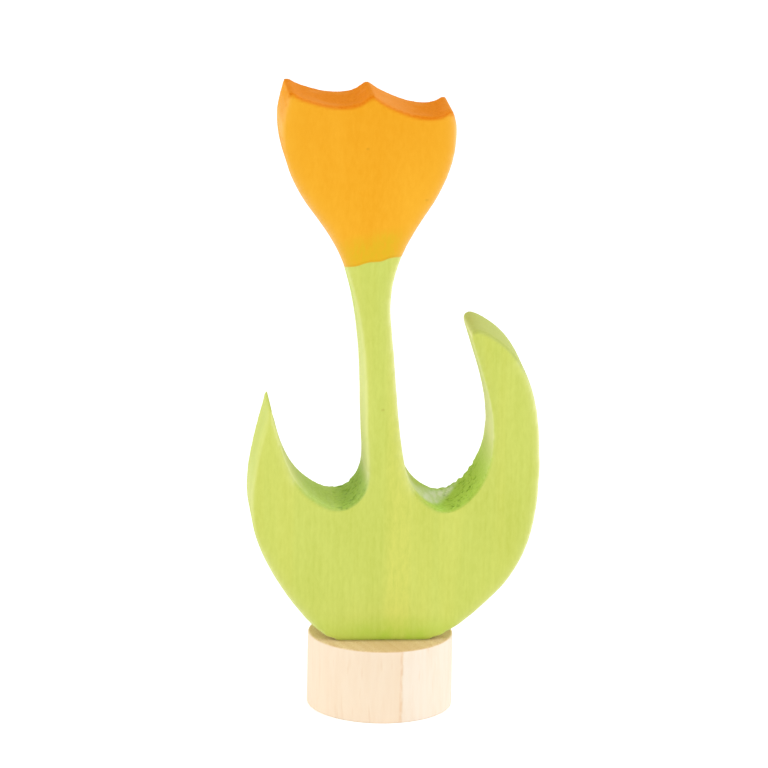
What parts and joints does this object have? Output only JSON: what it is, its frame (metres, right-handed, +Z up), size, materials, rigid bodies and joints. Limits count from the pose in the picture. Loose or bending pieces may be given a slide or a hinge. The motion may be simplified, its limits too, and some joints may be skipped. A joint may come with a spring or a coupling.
{
  "type": "wooden tulip figure",
  "caption": "Flat sawn wooden tulip with leaves, stem and flower, stained green and orange, on a round plug that pushes into a hole of a ring or holder.",
  "frame": {"origin": "middle of the plug's flat underside", "axes": "+Z up along the plug's axis; the board lies in the XZ plane and its front faces -Y"},
  "size_m": [0.039, 0.02, 0.086],
  "materials": {
    "stained_lime": "lime wood, green and orange water stain, sanded and thinly oiled",
    "bare_beech": "bare beech, sanded",
    "dowel_beech": "bare beech, fluted, glued"
  },
  "bodies": {
    "root": {"tulip_board": "stained_lime", "base_plug": "bare_beech", "dowel_pin": "dowel_beech"}
  },
  "joints": []
}
